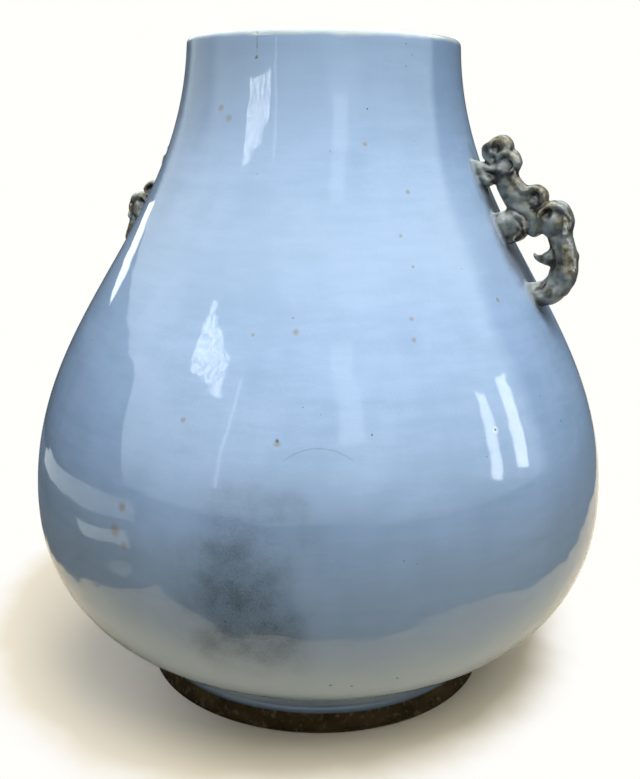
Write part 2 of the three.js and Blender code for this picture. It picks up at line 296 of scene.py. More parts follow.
class Field:
    """A value, colour or place in a node tree; arithmetic on it adds the nodes."""

    def __init__(self, socket):
        self.socket = socket

    def node(self, kind, inputs=(), output=0, **settings):
        """Output of a new node in the same tree."""
        return Field(add(self.socket.id_data, kind, inputs, **settings).outputs[output])

    def math(self, operation, *others):
        """Result of a math node on this value."""
        return self.node("ShaderNodeMath", (self, *others), operation=operation)

    def __add__(self, other):
        return self.math("ADD", other)

    def __sub__(self, other):
        return self.math("SUBTRACT", other)

    def __rsub__(self, other):
        return self.node("ShaderNodeMath", (other, self), operation="SUBTRACT")

    def __mul__(self, other):
        return self.math("MULTIPLY", other)

    def __truediv__(self, other):
        return self.math("DIVIDE", other)

    def __abs__(self):
        return self.math("ABSOLUTE")

    def most(self, other):
        """The larger of two values."""
        return self.math("MAXIMUM", other)

    def step(self, low, high):
        """0 below low and 1 above high, smooth between; low may be the larger."""
        inputs = (self, low, high, 0.0, 1.0)
        return self.node("ShaderNodeMapRange", inputs, interpolation_type="SMOOTHSTEP")

    def between(self, first, second):
        """Mix of two colours by this value."""
        first, second = (c if isinstance(c, Field) else (*c, 1.0) for c in (first, second))
        return self.node("ShaderNodeMix", {0: self, 6: first, 7: second}, 2, data_type="RGBA")

    def tinted(self, mask, tone):
        """This colour, turned towards a tone where a mask is on."""
        return mask.between(self, tone)

    def vector(self, operation, *others, output=0):
        """Result of a vector math node on this place."""
        return self.node("ShaderNodeVectorMath", (self, *others), output, operation=operation)

    def parts(self):
        """The X, Y and Z of this place."""
        outputs = add(self.socket.id_data, "ShaderNodeSeparateXYZ", (self,)).outputs
        return [Field(output) for output in outputs]

    def away(self, centre, stretch=None):
        """Distance of this place from a centre, stretched along the axes if asked."""
        if not stretch:
            return self.vector("DISTANCE", centre, output="Value")
        return self.vector("SUBTRACT", centre).vector("MULTIPLY", stretch).vector("LENGTH", output="Value")

    def noise(self, scale, detail=3.0, stretch=None):
        """Noise over this place, stretched along the axes if asked."""
        place = self.vector("MULTIPLY", stretch) if stretch else self
        inputs = {"Vector": place, "Scale": scale, "Detail": detail}
        return self.node("ShaderNodeTexNoise", inputs, "Fac")

    def into(self, node, name):
        """Link this to an input of a node."""
        self.socket.id_data.links.new(self.socket, node.inputs[name])


def spots(place, centres, edge=0.45):
    """Mask of round spots at points of the wall, 1 inside and 0 outside."""
    mask = None
    for degrees, height, radius in centres:
        spot = place.away(on_wall(degrees, height)).step(radius * MM, radius * MM * edge)
        mask = mask.most(spot) if mask else spot
    return mask


def carried(place, *names):
    """Values that the piece's own mesh carries."""
    return [place.node("ShaderNodeAttribute", (), "Fac", attribute_name=name) for name in names]


def new_material(name):
    """A node material, its Principled shader and the place on the object."""
    material = bpy.data.materials.new(name)
    material.use_nodes = True
    tree = material.node_tree
    place = Field(add(tree, "ShaderNodeTexCoord").outputs["Object"])
    return material, tree.nodes["Principled BSDF"], place


def rough_skin(height, shader, strength, depth):
    """Small relief of a surface."""
    inputs = {"Strength": strength, "Distance": depth, "Height": height}
    height.node("ShaderNodeBump", inputs).into(shader, "Normal")


def glaze_zones_and_painted_light(colour, height, clouds):
    """Darker, greyer blue at the neck; paler on the shoulder, painted light where it faces up; darker and
    greyer below the belly, partly a greyer glaze and partly painted shade; lighter at the waist, a painted
    reflection of the cream floor.
    """
    colour = colour.tinted(height.step(0.335, 0.395) * 0.5, (0.245, 0.37, 0.55))
    # Paler on the shoulder: painted light where the wall faces up
    shoulder = height.step(0.245, 0.305) * height.step(0.365, 0.305)
    colour = colour.tinted(shoulder * 0.35, (0.45, 0.6, 0.8))
    wavy_height = height + (clouds - 0.5) * 0.05
    # Darker, greyer below the belly: partly a greyer glaze, partly painted shade
    colour = colour.tinted(wavy_height.step(0.2, 0.12) * 0.55, (0.26, 0.318, 0.345))
    # Lighter at the waist: a painted reflection of the cream floor
    return colour.tinted(wavy_height.step(0.125, 0.078) * 0.66, (0.44, 0.525, 0.59))


def soot_stain(colour, place):
    """A broad soft smudge of soot on the lower belly."""
    away = place.away(on_wall(*SOOT_PLACE), (1.0, 1.0, 0.72))
    patch = (away + (place.noise(26.0, 6.0) - 0.5) * 0.075).step(0.056, 0.006)
    smear = place.noise(75.0, 6.0).step(0.3, 0.7)
    pepper = place.noise(900.0, 4.0).step(0.35, 0.65)
    soot = (smear * 0.3 + pepper * 0.16 + 0.38) * patch
    return colour.tinted(soot, (0.06, 0.084, 0.09))


def painted_handle_shade(colour, place):
    """Grey-brown painted shade and painted reflection of each handle, on the wall beside it."""
    x, y, z = place.parts()
    across = y * math.cos(HANDLE_SKEW) - abs(x) * math.sin(HANDLE_SKEW)
    rise = (z - 0.3) / 0.058
    reach = z.node("ShaderNodeCombineXYZ", ((across - 0.011) / 0.028, rise, 0.0)).away(ORIGIN)
    # Painted shade and painted reflection of the handle on the wall beside it, in grey-brown
    handle_shade_mask = (reach + (place.noise(60.0, 5.0) - 0.5) * 1.2).step(1.05, 0.45)
    return colour.tinted(handle_shade_mask * 0.64, (0.13, 0.122, 0.105))


def pinhole_mask(ragged):
    """The pinholes of the photograph, and a few scattered freckles."""
    inputs = {"Vector": ragged, "Scale": 34.0, "Randomness": 1.0}
    freckles = add(ragged.socket.id_data, "ShaderNodeTexVoronoi", inputs).outputs
    chosen = Field(freckles["Color"]).parts()[0].math("GREATER_THAN", 0.62)
    freckle = Field(freckles["Distance"]).step(0.026, 0.014) * chosen
    return spots(ragged, PINHOLES).most(freckle * 0.6)


def flaws(colour, ragged, height, pinhole):
    """Tan halos and a crater, pinholes over them, an olive drip and a hairline arc."""
    colour = colour.tinted(spots(ragged, TAN_SPOTS, 0.15) * 0.7, (0.27, 0.24, 0.15))
    colour = colour.tinted(spots(ragged, (CRATER,), 0.75) * 0.55, THIN_GLAZE)
    colour = colour.tinted(pinhole * 0.9, (0.035, 0.032, 0.026))
    streak = ragged.away(on_wall(*DRIP_PLACE), (1.0, 1.0, 0.07)).step(0.0006, 0.0002)
    drip = (streak * 0.6).most(spots(ragged, DRIP_ENDS))
    colour = colour.tinted(drip * 0.85, (0.07, 0.068, 0.03))
    away = ragged.away(on_wall(*ARC_CENTRE)) - ARC_RADIUS * MM
    hairline = abs(away).step(0.0006, 0.0001) * height.step(0.1985, 0.2015)
    return colour.tinted(hairline * 0.35, (0.13, 0.16, 0.2))


def sky_glaze(settings):
    """Sky blue glaze of the body, with its mottling, stains, pinholes and white lip, and painted light: a
    paler shoulder, painted shade low on the belly and beside the handles, and a painted reflection of the
    floor at the waist.
    """
    material, shader, place = new_material("sky_blue_glaze")
    height = place.parts()[2]
    wobble = place.node("ShaderNodeTexNoise", {"Vector": place, "Scale": 700.0, "Detail": 2.0}, "Color")
    wobble = wobble.vector("SUBTRACT", [0.5] * 3).vector("MULTIPLY", [EDGE_WOBBLE] * 3)
    ragged = place.vector("ADD", wobble)

    clouds = place.noise(9.0, 4.0)
    rings = place.noise(14.0, 4.0, (1.0, 1.0, 7.0))
    wiped = place.noise(42.0, 5.0, (1.0, 1.0, 5.0))
    brushed = place.noise(60.0, 3.0, (1.0, 1.0, 0.08))
    grain = place.noise(1300.0)
    mottle = clouds * 0.4 + rings * 0.16 + wiped * 0.16 + brushed * 0.14 + grain * 0.14
    colour = mottle.step(0.4, 0.6).between(settings.deep_glaze, settings.pale_glaze)
    colour = glaze_zones_and_painted_light(colour, height, clouds)
    # Soot, then painted shade and reflection of the handles on the wall
    colour = painted_handle_shade(soot_stain(colour, place), place)
    pinhole = pinhole_mask(ragged)
    colour = flaws(colour, ragged, height, pinhole)

    # The glaze draws thin and white over the lip, and is paler inside
    lip = (height + (place.noise(45.0) - 0.5) * 0.005).step(0.4155, 0.4185)
    colour = colour.tinted(lip * 0.85, (0.6, 0.66, 0.62))
    colour = colour.tinted(carried(place, "inside")[0] * 0.6, THIN_GLAZE)
    colour.into(shader, "Base Color")

    waves = place.noise(26.0, 2.0, (1.0, 1.0, 1.8))
    relief = waves + place.noise(900.0, 2.0) * 0.006 - pinhole * 0.25
    rough_skin(relief, shader, 1.0, 0.00045)
    shader.inputs["Roughness"].default_value = settings.gloss
    shader.inputs["IOR"].default_value = 1.52
    return material


def foot_finish(settings):
    """Bare dark clay at the table, with the glaze's heavy blue edge above it."""
    material, shader, place = new_material("glaze_edge_and_bare_clay")
    level = place.parts()[2] + (place.noise(40.0, 4.0) - 0.5) * 0.003
    glazed = level.step((GLAZE_LINE - 0.3) * MM, (GLAZE_LINE + 0.3) * MM)

    grain = place.noise(260.0, 6.0)
    blotch = place.noise(38.0, 4.0, (1.0, 1.0, 2.0))
    clay = blotch.step(0.35, 0.65).between((0.022, 0.014, 0.004), (0.064, 0.043, 0.018))
    clay = clay.tinted(grain.step(0.52, 0.72), (0.12, 0.095, 0.062))
    thick_glaze_and_painted_highlight = level.step((GLAZE_LINE + 7.0) * MM, GLAZE_LINE * MM)
    cloud = place.noise(30.0, 4.0).step(0.3, 0.7)
    blue = cloud.between((0.115, 0.175, 0.26), (0.205, 0.28, 0.36))
    blue = blue.tinted(thick_glaze_and_painted_highlight * 0.75, (0.045, 0.105, 0.235))
    glazed.between(clay, blue).into(shader, "Base Color")

    (CLAY_ROUGHNESS - glazed * (CLAY_ROUGHNESS - settings.gloss)).into(shader, "Roughness")
    (glazed * 0.38 + 0.12).into(shader, "Specular IOR Level")
    rough_skin(grain, shader, 1.0 - glazed * 0.95, 0.0006)
    return material


def iron_glaze(settings):
    """Grey-blue glaze of the handles: dark iron in the hollows, ochre on thin ridges, painted highlights
    on raised ridges and listed patches, and painted shade in some of the dark patches.
    """
    material, shader, place = new_material("iron_washed_glaze")
    relief, stain_and_shade, ochre, root, thick_glaze_and_painted_highlight = carried(place, "relief", "stain_and_shade", "ochre", "root", "pale")
    cloud = place.noise(110.0, 5.0)
    speckle = place.noise(420.0, 5.0)
    uneven = (cloud - 0.5) * 1.8 + (speckle - 0.5) * 1.2

    colour = cloud.step(0.32, 0.68).between((0.112, 0.128, 0.112), (0.265, 0.285, 0.255))
    # Lighter on raised ridges and at the listed patches: painted highlights
    pale = relief * 0.8 + thick_glaze_and_painted_highlight * 0.7 + uneven
    colour = colour.tinted(pale.step(0.25, 1.1) * 0.6, (0.47, 0.5, 0.47))
    thin = relief * 0.25 + ochre + uneven * 0.5
    tone = speckle.step(0.35, 0.65).between((0.11, 0.072, 0.03), (0.33, 0.275, 0.155))
    colour = colour.tinted(thin.step(0.1, 1.0) * 0.8, tone)
    # Darker in the hollows where iron pooled, and at the listed dark patches, some of which are painted
    # shade
    dark = relief * -1.0 + stain_and_shade * 1.75 + uneven
    colour = colour.tinted(dark.step(-0.15, 0.65) * 0.75, (0.078, 0.056, 0.028))
    colour = colour.tinted(dark.step(0.35, 1.35) * 0.9, (0.018, 0.013, 0.008))
    colour = colour.tinted(root * 0.8, (0.34, 0.43, 0.52))
    colour.into(shader, "Base Color")

    rough_skin(cloud * 0.9 + speckle * 0.35, shader, 0.6, 0.0009)
    shader.inputs["Roughness"].default_value = settings.gloss + 0.05
    shader.inputs["IOR"].default_value = 1.5
    return material


def piece_tree(name, *inputs):
    """A geometry tree that takes the named inputs and a finish, and its inputs' values."""
    inputs += (("Finish", "Material"),)
    tree = bpy.data.node_groups.new(name, "GeometryNodeTree")
    for label, kind in inputs:
        tree.interface.new_socket(label, in_out="INPUT", socket_type="NodeSocket" + kind)
    tree.interface.new_socket("Piece", in_out="OUTPUT", socket_type="NodeSocketGeometry")
    given = add(tree, "NodeGroupInput").outputs
    return tree, *(Field(given[label]) for label, kind in inputs)


def finished(tree, shape, finish):
    """End of a geometry tree: the shape smooth, whole and in its finish."""
    shape = shape.node("GeometryNodeSetShadeSmooth", {"Geometry": shape})
    shape = shape.node("GeometryNodeRealizeInstances", (shape,))
    shape = shape.node("GeometryNodeSetMaterial", {"Geometry": shape, "Material": finish})
    add(tree, "NodeGroupOutput", (shape,))
    return tree


def turning_tree():
    """Geometry nodes that turn an outline of radius and height round the Z axis."""
    inputs = (("Outline", "Geometry"), ("Turns", "Int"))
    tree, outline, turns, finish = piece_tree("turn_outline", *inputs)
    node = outline.node
    count = node("GeometryNodeAttributeDomainSize", (outline,), "Point Count")
    index = node("GeometryNodeInputIndex")
    row = index.math("MODULO", count)

    def from_outline(value, kind):
        inputs = {"Geometry": outline, "Value": value, "Index": row}
        return node("GeometryNodeSampleIndex", inputs, data_type=kind)

    angle = (index / count).math("FLOOR") * (2.0 * math.pi) / turns
    station = from_outline(node("GeometryNodeInputPosition"), "FLOAT_VECTOR")
    side = node("GeometryNodeInputNamedAttribute", ("inside",), "Attribute", data_type="FLOAT")
    inputs = {"Vector": station, "Angle": angle}
    turned = node("ShaderNodeVectorRotate", inputs, rotation_type="Z_AXIS")
    shape = node("GeometryNodeMeshGrid", {"Vertices X": turns + 1.0, "Vertices Y": count}, "Mesh")
    inputs = {"Geometry": shape, "Name": "inside", "Value": from_outline(side, "FLOAT")}
    shape = node("GeometryNodeStoreNamedAttribute", inputs, data_type="FLOAT")
    shape = node("GeometryNodeSetPosition", {"Geometry": shape, "Position": turned})
    shape = node("GeometryNodeMergeByDistance", {"Geometry": shape, "Distance": 1e-6})
    fold = node("GeometryNodeInputMeshEdgeAngle", (), "Unsigned Angle")
    gentle = fold.node("FunctionNodeCompare", {0: fold, 1: 0.6}, data_type="FLOAT", operation="LESS_THAN")
    inputs = {"Geometry": shape, "Shade Smooth": gentle}
    shape = node("GeometryNodeSetShadeSmooth", inputs, domain="EDGE")
    return finished(tree, shape, finish)


def seating_tree():
    """Geometry nodes that turn a handle to its side of the vase."""
    inputs = (("Handle", "Geometry"), ("Turn", "Float"))
    tree, handle, turn, finish = piece_tree("seat_handle", *inputs)
    turn = turn.node("ShaderNodeCombineXYZ", {"Z": turn})
    seated = handle.node("GeometryNodeTransform", {"Geometry": handle, "Rotation": turn})
    return finished(tree, seated, finish)


def run_tree(piece, tree, values):
    """Run a geometry tree on a piece and keep the result as its plain mesh."""
    modifier = piece.modifiers.new(tree.name, "NODES")
    modifier.node_group = tree
    for item in tree.interface.items_tree:
        if item.in_out == "INPUT" and item.name in values:
            modifier[item.identifier] = values[item.name]
    bpy.context.view_layer.update()
    evaluated = piece.evaluated_get(bpy.context.evaluated_depsgraph_get())
    mesh = bpy.data.meshes.new_from_object(evaluated)
    piece.modifiers.remove(modifier)
    old = piece.data
    piece.data = mesh
    bpy.data.meshes.remove(old)
    mesh.name = piece.name


def linked(name, mesh):
    """A new object in the scene."""
    piece = bpy.data.objects.new(name, mesh)
    bpy.context.scene.collection.objects.link(piece)
    return piece


def turned_piece(name, outline, inside, turns, material):
    """A piece turned from points of (radius, height) in millimetres."""
    mesh = bpy.data.meshes.new(name)
    points = [(radius * MM, 0.0, height * MM) for radius, height in outline]
    mesh.from_pydata(points, [(i, i + 1) for i in range(len(points) - 1)], [])
    mesh.attributes.new("inside", "FLOAT", "POINT").data.foreach_set("value", inside)
    piece = linked(name, mesh)
    run_tree(piece, turning_tree(), {"Turns": turns, "Finish": material})
    return piece


def declare(piece, nodes):
    """Tell the frame what a piece rides on, and the nodes it stands for."""
    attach(piece, "root")
    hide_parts(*nodes)


def on_handle(base, out, up):
    """Distance from the vase's axis and height above the table of a place on a handle."""
    z = base + up
    return float(outer_radius(z)) + out, z


def smooth_path(base, stations, steps=8):
    """Stations on the handle's plane, made denser along a smooth curve."""
    points = np.array([(*on_handle(base, *station[:2]), *station[2:]) for station in stations], float)
    if len(points) < 3:
        return points
    padded = np.vstack([2 * points[0] - points[1], points, 2 * points[-1] - points[-2]])
    found = [points[0]]
    for a, b, c, d in zip(padded, padded[1:], padded[2:], padded[3:]):
        for t in np.linspace(0.0, 1.0, steps + 1)[1:]:
            bend = 2 * a - 5 * b + 4 * c - d
            twist = 3 * b - a - 3 * c + d
            found.append((2 * b + (c - a) * t + bend * t * t + twist * t ** 3) / 2)
    return np.array(found)


def nearest_on_path(path, along, up):
    """Distance to a path at each place of the plane, and the path's other values there."""
    shape = (len(along), len(up))
    best = np.full(shape, 1e9)
    values = np.zeros(shape + (path.shape[1] - 2,))
    for start, end in zip(path, path[1:]):
        step = end[:2] - start[:2]
        out = along[:, None] - start[0]
        rise = up[None, :] - start[1]
        share = np.clip((out * step[0] + rise * step[1]) / max(step @ step, 1e-9), 0.0, 1.0)
        away = np.hypot(out - share * step[0], rise - share * step[1])
        closer = away < best
        best = np.where(closer, away, best)
        mixed = start[2:] + share[..., None] * (end[2:] - start[2:])
        values = np.where(closer[..., None], mixed, values)
    return best, values


def soft_union(first, second, radius):
    """Join of two fields with a fillet of about the given radius."""
    overlap = np.maximum(radius - np.abs(first - second), 0.0)
    return np.minimum(first, second) - overlap ** 2 / (4.0 * radius)


def soft_cut(field, tool, radius):
    """Field with the tool cut away, its edges rounded."""
    return -soft_union(-field, tool, radius)


def uneven_clay(shape, cells, seed):
    """Smooth random unevenness over a grid, about one in size."""
    values = np.random.default_rng(seed).standard_normal([n // cells + 3 for n in shape])
    for axis, size in enumerate(shape):
        place = np.arange(size) / cells
        low = place.astype(int)
        share = place - low
        share = share * share * (3.0 - 2.0 * share)
        share = share.reshape([-1 if i == axis else 1 for i in range(3)])
        values = np.take(values, low, axis) * (1.0 - share) + np.take(values, low + 1, axis) * share
    return values


def handle_field(base, along, across, up):
    """Field of a handle's clay over a grid: below 0 inside, in millimetres."""
    depth = np.abs(across)[None, :, None]
    field = np.full((len(along), len(across), len(up)), 50.0)
    for stations in STRIPS.values():
        away, values = nearest_on_path(smooth_path(base, stations), along, up)
        half_width = values[:, None, :, 0]
        half_depth = values[:, None, :, 1]
        section = (away[:, None, :] / half_width) ** SECTION_POWER + (depth / half_depth) ** SECTION_POWER
        strip = (section ** (1 / SECTION_POWER) - 1.0) * np.minimum(half_width, half_depth)
        field = soft_union(field, strip, STRIP_FILLET)
    surface = (field < 0.0).sum(axis=1) * (across[1] - across[0]) / 2.0
    above = depth - surface[:, None, :]
    for stations in GROOVES.values():
        away, values = nearest_on_path(smooth_path(base, stations), along, up)
        gap = np.hypot(away[:, None, :], above)
        field = soft_cut(field, gap - values[:, None, :, 0], 0.6)
    for out, high, radius, deep in HOLLOWS.values():
        middle, level = on_handle(base, out, high)
        away = np.hypot(along[:, None] - middle, up[None, :] - level)
        gap = np.hypot(away[:, None, :], above - radius + deep)
        field = soft_cut(field, gap - radius, 0.8)
    coarse = COARSE_CLAY * uneven_clay(field.shape, 8, 5)
    return field + coarse + FINE_CLAY * uneven_clay(field.shape, 4, 6)


def seated_field(field, along, across, up):
    """The handle's field joined to the wall by a fillet, and ended inside the wall."""
    radius = np.hypot(along[:, None, None], across[None, :, None])
    slant = np.hypot(1.0, wall_slope(up))
    wall = (radius - outer_radius(up)) / slant
    joined = np.maximum(soft_union(field, wall, WALL_FILLET), field - WALL_FILLET)
    return np.maximum(joined, -wall - 1.5)


def without_pinches(field):
    """Field whose clay no longer touches itself along a bare edge of the grid."""
    for axis in [0, 1, 2] * 4:
        view = np.moveaxis(field, axis, 0)
        near, right = view[:, :-1, :-1], view[:, 1:, :-1]
        above, far = view[:, :-1, 1:], view[:, 1:, 1:]
        right[(near < 0.0) & (far < 0.0) & (right >= 0.0) & (above >= 0.0)] = -0.02
        near[(near >= 0.0) & (far >= 0.0) & (right < 0.0) & (above < 0.0)] = -0.02
    return field


def surface_net(field, axes):
    """Quads that follow the zero level of a field, and their points."""
    inside = field < 0.0
    offsets = list(np.ndindex(2, 2, 2))

    def corner(array, offset):
        return array[tuple(slice(k, n - 1 + k) for k, n in zip(offset, array.shape))]

    filled = sum(corner(inside, offset).astype(np.int8) for offset in offsets)
    mixed = (filled > 0) & (filled < 8)
    number = np.full(mixed.shape, -1)
    number[mixed] = np.arange(mixed.sum())
    total = np.zeros((mixed.sum(), 3))
    hits = np.zeros(mixed.sum())
    for axis in range(3):
        for offset in [offset for offset in offsets if not offset[axis]]:
            other = tuple(1 if i == axis else offset[i] for i in range(3))
            low = corner(field, offset)[mixed]
            high = corner(field, other)[mixed]
            crossed = (low < 0.0) != (high < 0.0)
            share = np.where(crossed, low / np.where(crossed, low - high, 1.0), 0.0)
            point = np.tile(np.array(offset, float), (len(low), 1))
            point[:, axis] = share
            total += point * crossed[:, None]
            hits += crossed
    index = np.argwhere(mixed)
    spacing = np.array([axis[1] - axis[0] for axis in axes])
    start = np.array([axis[0] for axis in axes])
    points = (index + total / hits[:, None]) * spacing + start

    quads = []
    for axis in range(3):
        first, second = [i for i in range(3) if i != axis]
        inner = inside[tuple(slice(None) if i == axis else slice(1, -1) for i in range(3))]
        before = np.delete(inner, -1, axis)
        after = np.delete(inner, 0, axis)
        ring = []
        for a, b in ((1, 1), (0, 1), (0, 0), (1, 0)):
            cell = np.argwhere(before != after)
            cell[:, first] += a
            cell[:, second] += b
            ring.append(number[tuple(cell.T)])
        ring = np.stack(ring, 1)
        backward = before[before != after] == (axis == 1)
        ring[backward] = ring[backward][:, ::-1]
        quads.append(ring)
    return points, np.vstack(quads)


def relax(points, quads, rounds):
    """Points moved towards the mean of their neighbours a number of times."""
    starts = quads.ravel()
    ends = np.roll(quads, -1, axis=1).ravel()
    links = np.concatenate([starts, ends])
    others = np.concatenate([ends, starts])
    count = np.bincount(links, minlength=len(points))[:, None]
    for _ in range(rounds):
        mean = np.stack([np.bincount(links, points[others, i], len(points)) for i in range(3)], 1) / count
        points = points + 0.5 * (mean - points)
    return points


def point_normals(points, quads):
    """Unit normals at the points of a quad mesh."""
    corners = points[quads]
    face = np.cross(corners[:, 2] - corners[:, 0], corners[:, 3] - corners[:, 1])
    total = np.zeros_like(points)
    for i in range(4):
        for axis in range(3):
            total[:, axis] += np.bincount(quads[:, i], face[:, axis], len(points))
    return total / np.maximum(np.linalg.norm(total, axis=1), 1e-9)[:, None]


def patch_strength(base, points, patches):
    """Strength at each point of round patches given on the handle's plane."""
    found = np.zeros(len(points))
    for out, up, radius, strength in patches:
        along, height = on_handle(base, out, up)
        away = np.hypot(points[:, 0] - along, points[:, 2] - height)
        found = np.maximum(found, strength * np.clip(1.3 - away / (1.5 * radius), 0.0, 1.0))
    return found


def handle_mesh(cell, base):
    """One handle, along +X: its mesh in metres, with attributes for its iron-washed glaze, its painted
    highlights and its painted shade.
    """
    start = GRID_START + 0.7 * (HANDLE_BASES["right"] - base)
    along = np.arange(start, start + GRID_REACH, cell)
    across = np.arange(-GRID_DEPTH, GRID_DEPTH + cell, cell)
    up = np.arange(base - GRID_BELOW, base + GRID_ABOVE, cell)
    field = seated_field(handle_field(base, along, across, up), along, across, up)
    points, quads = surface_net(without_pinches(field), (along, across, up))
    points = relax(points, quads, 2)
    normals = point_normals(points, quads)
    broad = relax(points, quads, 14)
    relief = np.einsum("ij,ij->i", points - broad, normals) / 0.3
    lumps = relax(broad, quads, 50)
    relief = 0.6 * relief + 0.5 * np.einsum("ij,ij->i", broad - lumps, normals) / 0.8
    off_wall = np.hypot(points[:, 0], points[:, 1]) - outer_radius(points[:, 2])
    mesh = bpy.data.meshes.new("handle")
    mesh.from_pydata((points * MM).tolist(), [], quads.tolist())
    attributes = {
        "relief": np.clip(relief, -1.5, 1.5),
        "stain_and_shade": patch_strength(base, points, STAINS_AND_PAINTED_SHADE),
        "ochre": patch_strength(base, points, OCHRES),
        "pale": patch_strength(base, points, PAINTED_HIGHLIGHTS),
        "root": np.clip(1.0 - off_wall / 3.0, 0.0, 1.0),
    }
    for name, values in attributes.items():
        mesh.attributes.new(name, "FLOAT", "POINT").data.foreach_set("value", values.astype(np.float32))
    return mesh


class VASE_PG_settings(bpy.types.PropertyGroup):
    """Sizes and colours of the vase's finish."""

    gloss: bpy.props.FloatProperty(
        name="Gloss", description="Roughness of the glaze", default=0.06, min=0.02, max=0.6)
    pale_glaze: bpy.props.FloatVectorProperty(
        name="Pale glaze", description="Glaze where it is thin", subtype="COLOR", size=3,
        default=(0.378, 0.54, 0.8), min=0.0, max=1.0)
    deep_glaze: bpy.props.FloatVectorProperty(
        name="Deep glaze", description="Glaze where it is thick", subtype="COLOR", size=3,
        default=(0.295, 0.447, 0.68), min=0.0, max=1.0)
    turns: bpy.props.IntProperty(
        name="Turns", description="Facets round the vessel", default=240, min=48, max=400)
    handle_cell: bpy.props.FloatProperty(
        name="Handle fineness", description="Grid of the handles' clay, in millimetres",
        default=0.62, min=0.4, max=2.0)


class VASE_OT_body(bpy.types.Operator):
    """Build the glazed body in one seamless piece."""

    bl_idname = "vase.body"
    bl_label = "Build body"

    def execute(self, context):
        settings = context.scene.vase_settings
        top = HEIGHT - WALL / 2.0
        sweep = 1.0 - np.cos(np.linspace(0.0, math.pi / 2.0, 48))
        outside_z = np.concatenate([FOOT_HEIGHT + (BELLY_HEIGHT - FOOT_HEIGHT) * sweep,
                                    np.linspace(BELLY_HEIGHT, top, 96)[1:]])
        inside_z = np.linspace(top, FLOOR_TOP, 80)
        outline = [(0.0, FOOT_HEIGHT)] + list(zip(outer_radius(outside_z), outside_z))
        middle = float(outer_radius(top) + inner_radius(top)) / 2.0
        for angle in np.linspace(0.0, math.pi, 14)[1:-1]:
            outline.append((middle + WALL / 2.0 * math.cos(angle), top + WALL / 2.0 * math.sin(angle)))
        outer_count = len(outline)
        outline += list(zip(inner_radius(inside_z), inside_z)) + [(0.0, FLOOR_TOP)]
        inside = np.clip((np.arange(len(outline)) - outer_count + 3.0) / 6.0, 0.0, 1.0)
        body = turned_piece("glazed_body", outline, inside, settings.turns, sky_glaze(settings))
        declare(body, ("base_disc", "lower_body", "upper_body", "neck", "lip"))
        return {"FINISHED"}


class VASE_OT_foot(bpy.types.Operator):
    """Build the foot ring, glazed above and bare clay below."""

    bl_idname = "vase.foot"
    bl_label = "Build foot"

    def execute(self, context):
        settings = context.scene.vase_settings
        inner = FOOT_RADIUS - FOOT_WALL
        lean = (WAIST_RADIUS - FOOT_RADIUS) / (FOOT_HEIGHT - FOOT_BEVEL)
        outline = [(inner + FOOT_BEVEL, 0.0), (FOOT_RADIUS - FOOT_BEVEL, 0.0)]
        for angle in np.linspace(0.0, math.pi / 2.0, 6)[1:]:
            inset = FOOT_BEVEL * (1.0 - math.sin(angle))
            outline.append((FOOT_RADIUS - inset, FOOT_BEVEL * (1.0 - math.cos(angle))))
        for height in np.linspace(FOOT_BEVEL, FOOT_HEIGHT, 60)[1:]:
            edge = 1.0 / (1.0 + math.exp(-(height - GLAZE_LINE) / 0.22))
            swell = GLAZE_STEP * math.exp(-((height - GLAZE_LINE - 1.6) / 2.0) ** 2)
            radius = FOOT_RADIUS + lean * (height - FOOT_BEVEL) - GLAZE_STEP * (1.0 - edge) + swell * edge
            outline.append((radius - GLAZE_STEP, height))
        inside_z = np.linspace(FOOT_HEIGHT, FOOT_BEVEL, 12)
        outline += [(inner + lean * (height - FOOT_BEVEL), height) for height in inside_z]
        outline.append(outline[0])
        inside = np.zeros(len(outline))
        foot = turned_piece("foot_ring_piece", outline, inside, settings.turns, foot_finish(settings))
        declare(foot, ("foot_ring",))
        return {"FINISHED"}


class VASE_OT_handles(bpy.types.Operator):
    """Build both scroll handles, each from one sculpted body of clay."""

    bl_idname = "vase.handles"
    bl_label = "Build handles"

    def execute(self, context):
        settings = context.scene.vase_settings
        material = iron_glaze(settings)
        tree = seating_tree()
        for side, base in HANDLE_BASES.items():
            handle = linked(side + "_scroll_handle", handle_mesh(settings.handle_cell, base))
            run_tree(handle, tree, {"Turn": HANDLE_TURNS[side], "Finish": material})
            nodes = [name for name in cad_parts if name.startswith(side + "_")]
            declare(handle, nodes)
        return {"FINISHED"}


# The room that the glaze mirrors, in patches: degrees right of the camera, degrees up,
# half width, half height and softness of the edge in degrees, brightness
DARK_PATCHES = (
    ("left_corner", -168, -25, 26, 36, 6, 0.9),
    ("right_cabinet", 136, -15, 38, 45, 6, 0.95),
    ("left_shelf", -124, 14, 26, 9, 7, 0.42),
)
BRIGHT_PATCHES = (
    ("window_bars", 12, 43.5, 6, 3.5, 1, 1.5),
    ("window_upper", 14, 32, 6, 7.5, 1.2, 1.7),
    ("window_lower", 17, 21, 13, 7, 2.5, 0.5),
    ("left_line", -39, 23, 0.5, 15, 0.5, 3.2),
)
CEILING_GLOW = 2.7
SOFT_LIGHT = 0.175

